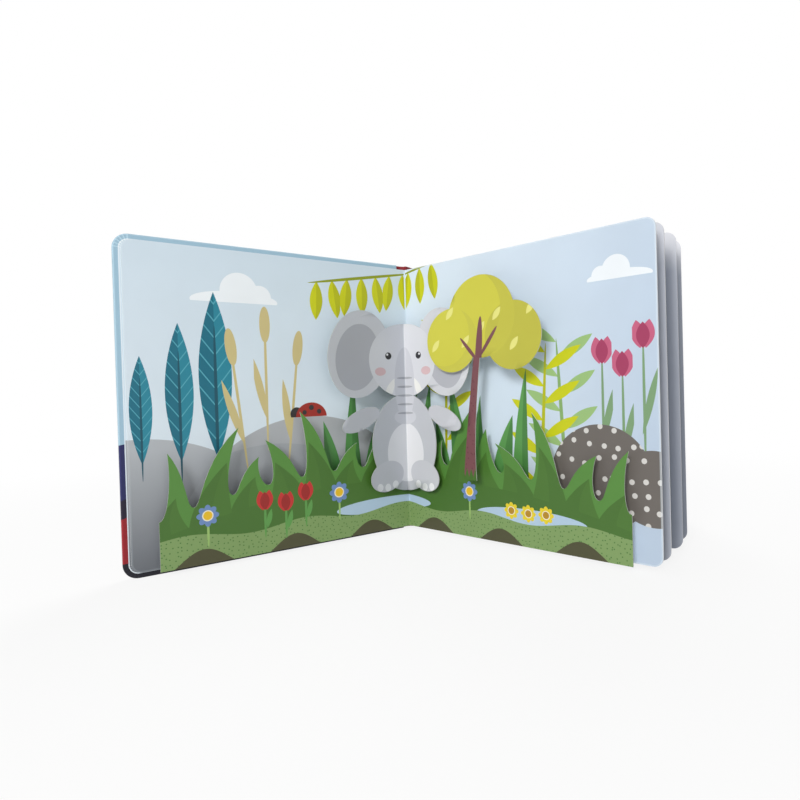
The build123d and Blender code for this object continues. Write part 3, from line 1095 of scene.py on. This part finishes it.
# Foot, tip and width of the trunk and its two branches.
BRANCHES = (((74.5, 90), (79, 138), 5.0), ((78, 114), (91, 131), 2.4), ((77, 110), (63, 126), 2.4))


def tree_picture(sheet):
    """Yellow-green crown of three tufts with a shaded side, on a plum-brown trunk in grass."""
    sheet.lay(sheet.dots(3.4, 0.55, 1.0), "#6C3F45")
    middle, left, right = sheet.disc((79, 138), 25), sheet.disc((56, 125), 20), sheet.disc((102, 125), 20)
    sheet.lay(middle | left | right, "#D0CB46")
    sheet.lay(right, "#C0BB45")
    sheet.lay(middle * (1 - sheet.disc((69, 142), 25)), "#C4BF46")
    sheet.lay(left * (1 - sheet.disc((50, 129), 20)), "#C9C447")
    near, number = nearest(sheet.along, 79.0, 12.0, 3.0)
    tuft = sheet.seen_at(near, sheet.up - (number * 2.4).sine() * 11.0)
    sheet.lay(tuft.leaf((0, 131), (4.8, 1.9), 52)[0], "#E7E382")
    for foot, tip, width in BRANCHES:
        sheet.lay(sheet.stalk(foot, tip, width), BARK)
    teeth = sheet.along.math_node("PINGPONG", 1.6)
    sheet.lay(sheet.up < teeth * 3.4 + 40.0, DARK_GRASS)


# %% Bows of the card
def bow_past(run, start, length, lift):
    """Lift off the flat that grows with the square of the way past a start, in millimetres."""
    return lift * (max(0.0, run - start) / length) ** 2


def grass_bow(out, up):
    """Blades lean a little towards the reader near their tips."""
    return bow_past(up, start=42, length=45, lift=1.4)


def figure_bow(out, up):
    """Ears and arms lift slightly off the flat."""
    return bow_past(abs(out), start=30, length=38, lift=1.6)


def tree_bow(out, up):
    """Crown is a little dished."""
    return bow_past(abs(out - 79), start=0, length=43, lift=1.0) if up > 100 else 0.0


def flat_bow(out, up):
    """Struts stay flat."""
    return 0.0


# %% Cut-outs
grass_print = card_print("coated_card_grass", "#55893A", grass_picture)
elephant_print = card_print("coated_card_elephant", "#CDCED4", elephant_picture)
tree_print = card_print("coated_card_tree", BARK, tree_picture)
cut_outs = [
    (card_piece("ground_strip", bank_mesh(), grass_print, grass_bow, pitch_mm=4.0), "grass_card"),
    (card_piece("figure", card_copy("figure"), elephant_print, figure_bow), "grey_card"),
    (card_piece("tree", card_copy("tree"), tree_print, tree_bow), "tree_card"),
]
for strut in ("figure_strut_left", "figure_strut_right", "tree_strut"):
    cut_outs.append((card_piece(strut, card_copy(strut), card_reverse, flat_bow), "white_card"))
for piece, slot in cut_outs:
    fold_with_pages(piece)
    print(piece.name, len(piece.data.polygons), "faces")


# %% [markdown]
# ## Joints of the case
# Over each groove the wrap is only paper, and it bends as the cover swings. The strip is a merged
# copy of the frame's own, cut into narrow lengths across the groove.

# %% Wrap over the grooves
GROOVE_CUT = 0.7 * MM


def joint_piece(node, fold, along):
    """Strip of wrap paper over a groove, cut into narrow lengths along a cover."""
    mesh = merged_copy(node)
    reach = [(vert.co - fold).dot(along) for vert in mesh.verts]
    cut_across(mesh, fold, along, min(reach), max(reach), GROOVE_CUT)
    piece = new_piece(node + "_wrap", mesh, spine_wrap)
    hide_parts(node)
    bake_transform(piece)
    return piece


front_strip = joint_piece("front_joint", gutter, left_along)
back_strip = joint_piece("back_joint", back_fold, back_along)
print("joints:", front_strip.name, back_strip.name)

# %% [markdown]
# ## Creases of the spreads
# Both pages of a spread are one printed sheet, folded in the gutter. The fold is a narrow strip of
# that sheet, laid a hair before both pages. The open spread has one, and so has the last one, which
# comes into view when the back cover is swung open.

# %% Creases in the gutters
CREASE_REACH_MM, CREASE_LIFT_MM, CREASE_ROUND_MM = 0.7, 0.08, 0.3
LEAF_MM = 0.7
LAST_LEAF_SHARE, LAST_LEAF_FAN = 0.75, math.radians(15.8)
last_along = level_direction(HALF_OPENING + LAST_LEAF_FAN)
last_facing = last_along.cross(UP)


def crease_strip(name, stops, code):
    """Narrow strip of coated card through a few points in plan, as tall as the pages."""
    mesh = bmesh.new()
    card_wall(mesh, stops, PAGE_HEIGHT, CREASE_LIFT_MM * MM)
    bmesh.ops.recalc_face_normals(mesh, faces=mesh.faces)
    return new_piece(name, mesh, plain_card("coated_card_" + name, code, VARNISHED, COATED_FIBRE_MM))


def on_page(fold, along, facing, lift_mm):
    """Point in plan a little way along a page from its fold, lifted off its face."""
    return fold + (along * CREASE_REACH_MM + facing * lift_mm) * MM


gutter_stops = (
    on_page(*right_side, CREASE_LIFT_MM),
    gutter + Vector((0, -CREASE_ROUND_MM, 0)) * MM,
    on_page(*left_side, CREASE_LIFT_MM),
)
last_root = gutter.lerp(back_fold, LAST_LEAF_SHARE)
last_stops = (
    on_page(last_root, last_along, last_facing, -LEAF_MM - CREASE_LIFT_MM),
    back_fold + back_facing * CREASE_ROUND_MM * MM,
    on_page(*back_side, CREASE_LIFT_MM),
)
gutter_crease = crease_strip("gutter_crease", gutter_stops, "#D3E2ED")
last_crease = crease_strip("last_crease", last_stops, "#A9B4C4")
fold_with_pages(gutter_crease)
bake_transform(last_crease)
for piece in (gutter_crease, last_crease):
    print("crease:", piece.name)


# %% [markdown]
# ## Floor and light
# The book stands in a white sweep under soft lamps. A key lamp to the left of the reader gives the
# right page its light and throws the cut-outs' shadows, a weak one on the right opens up the left
# page, and one above and behind lights the covers. The floor is part white to the camera, so that
# it shows the shadow lightly, and fades to plain white past the book.

# %% Floor
FLOOR_HALF = 3.0
FADE_START, FADE_END = 0.25, 0.7
NEAR_WHITE = 0.86


def white_floor():
    """Pale matt floor that fades to white away from the book."""
    material, tree, output = new_material("white_sweep")
    point = add(tree, "ShaderNodeTexCoord").outputs["Object"]
    away = add(tree, "ShaderNodeVectorMath", {0: point}, operation="LENGTH").outputs["Value"]
    far = add(tree, "ShaderNodeMapRange", {
        "Value": away, "From Min": FADE_START, "From Max": FADE_END, "To Min": NEAR_WHITE,
    }, interpolation_type="SMOOTHSTEP").outputs[0]
    ray = add(tree, "ShaderNodeLightPath")
    seen = Number(tree, ray.outputs["Is Camera Ray"]) | ray.outputs["Is Glossy Ray"]
    matt = add(tree, "ShaderNodeBsdfDiffuse", {"Color": ink("#F7F7F6")})
    white = add(tree, "ShaderNodeEmission", {"Color": (1, 1, 1, 1), "Strength": 1.0})
    both = add(tree, "ShaderNodeMixShader", {0: seen * far, 1: matt.outputs[0], 2: white.outputs[0]})
    tree.links.new(both.outputs[0], output.inputs["Surface"])
    return material


floor_mesh = bmesh.new()
bmesh.ops.create_grid(floor_mesh, x_segments=1, y_segments=1, size=FLOOR_HALF)
floor = new_piece("floor", floor_mesh, white_floor())


# %% Lamps and world
def lamp(name, place, target, size, watts):
    """Square soft lamp aimed at a point."""
    data = bpy.data.lights.new(name, "AREA")
    data.size = size
    data.energy = watts
    light = bpy.data.objects.new(name, data)
    light.location = place
    light.rotation_euler = (Vector(target) - Vector(place)).to_track_quat("-Z", "Y").to_euler()
    bpy.context.scene.collection.objects.link(light)


AIM = (0, 0, 0.09)
WORLD_LIGHT = 0.3
lamp("key", (-0.5, -1.5, 0.75), AIM, size=0.5, watts=17.0)
lamp("fill", (0.7, -1.4, 0.5), AIM, size=1.0, watts=3.2)
lamp("rear", (0.3, 1.2, 1.2), AIM, size=1.0, watts=16.0)

world = bpy.data.worlds.new("studio")
bpy.context.scene.world = world
world.use_nodes = True
world.node_tree.nodes.clear()
ray = add(world.node_tree, "ShaderNodeLightPath")
strength = add(world.node_tree, "ShaderNodeMapRange", {
    "Value": ray.outputs["Is Camera Ray"], "To Min": WORLD_LIGHT, "To Max": 1.0,
})
background = add(world.node_tree, "ShaderNodeBackground", {
    "Color": (1, 1, 1, 1), "Strength": strength.outputs[0],
})
add(world.node_tree, "ShaderNodeOutputWorld", {"Surface": background.outputs[0]})
bpy.context.scene.view_settings.view_transform = "Standard"
